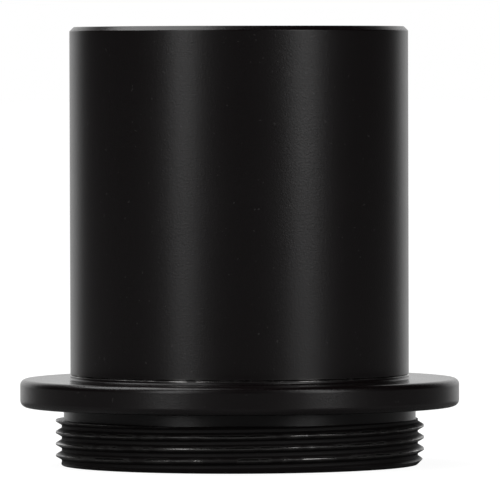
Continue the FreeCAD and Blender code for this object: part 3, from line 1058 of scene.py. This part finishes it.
@dataclass
class Studio:
    """White surroundings, two tall soft lamps at the front, one above and a pale floor, in metres.

    Args:
        backdrop_half_angle: half the width of the white card behind the object, in degrees.
        backdrop_softness: half the width of the card's soft edge, in degrees.
        front_level: level of the surroundings in reflections away from the card.
        plain_level: level at which the surroundings light the object.
        floor_half: half the floor's side.
        floor_drop: how far the floor lies below the end face, in millimetres.
        floor_colour: its colour.
        floor_roughness: its roughness.
        floor_glow: how much it glows to the camera.
        floor_mirrored: level of its far part in reflections.
        floor_far: how far behind the axis that far part begins and is full.
        lamp_distance: distance of the lamps.
        lamp_height: height of the tall lamps.
        lamp_bottom: height of their lower edge.
        left: azimuth in degrees, width and power in watts of the left lamp.
        right: the same of the right lamp.
        top_direction: direction of the top lamp.
        top_target: height that it is aimed at.
        top_size: its side.
        top_power: its power, in watts.
    """

    backdrop_half_angle: float = 38.0
    backdrop_softness: float = 9.0
    front_level: float = 0.005
    plain_level: float = 0.42
    floor_half: float = 6.0
    floor_drop: float = 0.01
    floor_colour: tuple = (0.2, 0.2, 0.2, 1.0)
    floor_roughness: float = 0.9
    floor_glow: float = 0.92
    floor_mirrored: float = 0.75
    floor_far: tuple = (0.015, 0.05)
    lamp_distance: float = 0.62
    lamp_height: float = 0.75
    lamp_bottom: float = 0.02
    left: tuple = (-37.5, 0.14, 1.29)
    right: tuple = (45.0, 0.17, 1.41)
    top_direction: tuple = (-0.42, 0.18, 0.89)
    top_target: float = 0.02
    top_size: float = 0.42
    top_power: float = 1.8

    def build(self) -> None:
        """Make the world, the lamps and the floor."""
        self.make_world()
        self.make_side_lamp("lamp_left", *self.left)
        self.make_side_lamp("lamp_right", *self.right)
        place = Vector(self.top_direction).normalized() * self.lamp_distance
        self.make_lamp("lamp_top", place, Vector((0, 0, self.top_target)),
                       (self.top_size, self.top_size), self.top_power)
        self.make_floor()

    def card(self, graph: Graph, straight: Signal) -> Signal:
        """Level of the white card behind the object, by the cosine of the angle to its middle."""
        inner = math.cos(math.radians(self.backdrop_half_angle - self.backdrop_softness))
        outer = math.cos(math.radians(self.backdrop_half_angle + self.backdrop_softness))
        return graph.ramp(straight, outer, inner, self.front_level)

    def make_world(self) -> None:
        """White to the camera and through glass; in reflections white behind the object only."""
        world = bpy.data.worlds.new("studio")
        bpy.context.scene.world = world
        world.use_nodes = True
        graph = Graph(world.node_tree)
        toward = graph.node("ShaderNodeTexCoord", {}, {}, "Generated")
        card = self.card(graph, graph.part(toward, "Y"))
        camera, through, glossy = (
            graph.node("ShaderNodeLightPath", {}, {}, name)
            for name in ("Is Camera Ray", "Is Transmission Ray", "Is Glossy Ray"))
        seen = graph.clamp(camera + through)
        mirrored = glossy * (1 - seen)
        level = seen + mirrored * card + (1 - seen) * (1 - glossy) * self.plain_level
        inputs = {"Color": (1.0, 1.0, 1.0, 1.0), "Strength": level}
        shader = graph.node("ShaderNodeBackground", {}, inputs)
        graph.node("ShaderNodeOutputWorld", {}, {"Surface": shader})

    def make_side_lamp(self, name: str, azimuth: float, width: float, power: float) -> None:
        """Stand a tall soft lamp at an azimuth from the camera's side, turned to the axis.

        Args:
            name: the lamp's name.
            azimuth: degrees to the right of the camera's side.
            width: its width in metres.
            power: its power in watts.
        """
        turn = math.radians(azimuth)
        place = Vector((math.sin(turn), -math.cos(turn), 0)) * self.lamp_distance
        place.z = self.lamp_height / 2 + self.lamp_bottom
        self.make_lamp(name, place, Vector((0, 0, place.z)), (width, self.lamp_height), power)

    def make_lamp(self, name: str, place: Vector, target: Vector, size: tuple,
                  power: float) -> None:
        """Put a soft lamp at a place and aim it.

        Args:
            name: the lamp's name.
            place: where it stands.
            target: what it looks at.
            size: its width and height.
            power: its power in watts.
        """
        data = bpy.data.lights.new(name, "AREA")
        data.shape = "RECTANGLE"
        data.size, data.size_y = size
        data.energy = power
        turn = (target - place).to_track_quat("-Z", "Y").to_matrix().to_4x4()
        add_object(name, data).matrix_world = Matrix.Translation(place) @ turn

    def make_floor(self) -> None:
        """Lay the floor under the object.

        It glows to the camera and still takes the shadow. In reflections its far part is white.
        """
        mesh = bpy.data.meshes.new("floor")
        half, level = self.floor_half, -self.floor_drop * MM
        mesh.from_pydata([(-half, -half, level), (half, -half, level), (half, half, level),
                          (-half, half, level)], [], [(0, 1, 2, 3)])
        material, graph = new_material("pale_floor")
        seen, mirrored = (graph.node("ShaderNodeLightPath", {}, {}, name)
                          for name in ("Is Camera Ray", "Is Glossy Ray"))
        place = graph.place()
        toward = graph.node("ShaderNodeVectorMath", {"operation": "NORMALIZE"}, {0: place})
        card = self.card(graph, graph.part(toward, "Y")) * self.floor_mirrored
        far = mirrored * card * graph.ramp(graph.part(place, "Y"), *self.floor_far)
        graph.surface({
            "Base Color": self.floor_colour,
            "Roughness": self.floor_roughness,
            "Specular IOR Level": 0.0,
            "Emission Color": (1.0, 1.0, 1.0, 1.0),
            "Emission Strength": seen * self.floor_glow + (1 - seen) * far,
        })
        mesh.materials.append(material)
        add_object("floor", mesh)


@dataclass
class Photographer:
    """The camera of the photograph, worked out from the picture's measured lines.

    Args:
        picture_width: width and height of the picture, in pixels.
        focal_pixels: focal length, in pixels.
        distance: distance from the axis, in millimetres.
        eye_height: height above the end face, in millimetres.
        axis_column: column of the picture in which the axis stands.
        horizon_row: row that lies level with the eye.
        roll: turn of the camera about its line of sight, in degrees.
        sensor: width of the sensor, in millimetres.
        near: where the view begins, in metres.
        far: where it ends, in metres.
    """

    picture_width: float = 500.0
    focal_pixels: float = 7400.0
    distance: float = 507.0
    eye_height: float = 27.0
    axis_column: float = 239.3
    horizon_row: float = 70.4
    roll: float = 0.16
    sensor: float = 36.0
    near: float = 0.01
    far: float = 50.0

    def build(self) -> bpy.types.Object:
        """Place the camera so that the axis and the horizon fall where they do in the picture."""
        centre = self.picture_width / 2
        data = bpy.data.cameras.new("camera")
        data.sensor_width = self.sensor
        data.lens = self.sensor * self.focal_pixels / self.picture_width
        data.clip_start, data.clip_end = self.near, self.far
        camera = add_object("camera", data)
        sideways = (centre - self.axis_column) / self.focal_pixels * self.distance
        down = math.atan((centre - self.horizon_row) / self.focal_pixels)
        place = Matrix.Translation(Vector((sideways, -self.distance, self.eye_height)) * MM)
        tilt = Matrix.Rotation(math.pi / 2 - down, 4, "X")
        camera.matrix_world = place @ tilt @ Matrix.Rotation(-math.radians(self.roll), 4, "Z")
        bpy.context.scene.camera = camera
        return camera


def make_finishes() -> dict:
    """Build every material, by its slot in the record."""
    finishes = (
        BlackFinish("satin_black_anodised", colour=(0.0034, 0.0018, 0.0021),
                    worn=(0.40, 0.392, 0.385), roughness=0.32, grain=Grain.BLASTED),
        BlackFinish("matte_black_anodised", colour=(0.010, 0.010, 0.011),
                    worn=(0.25, 0.245, 0.24), roughness=0.50, grain=Grain.TURNED),
        BlackFinish("blackened_brass", colour=(0.018, 0.015, 0.012),
                    worn=(0.28, 0.19, 0.09), roughness=0.38, grain=Grain.TURNED, metallic=0.6),
        GlassFinish("crown_glass", index=1.517, colour=(0.98, 0.99, 1.0), film=105.0),
        GlassFinish("flint_glass", index=1.617, colour=(1.0, 0.99, 0.97)),
    )
    return {finish.name: finish.make() for finish in finishes}


def main() -> None:
    """Load the frame, build every piece, the studio and the camera."""
    logging.basicConfig(level=logging.INFO, format="%(name)s: %(message)s")
    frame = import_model()
    finishes = make_finishes()
    MountRing().build(finishes["satin_black_anodised"])
    EyepieceTube().build(finishes["satin_black_anodised"])
    FieldStop().build(finishes["matte_black_anodised"])
    CellHardware().build(frame, finishes)
    GlassStack().build(finishes)
    Studio().build()
    Photographer().build()
    bpy.context.scene.view_settings.view_transform = "Standard"


if __name__ == "__main__":
    main()
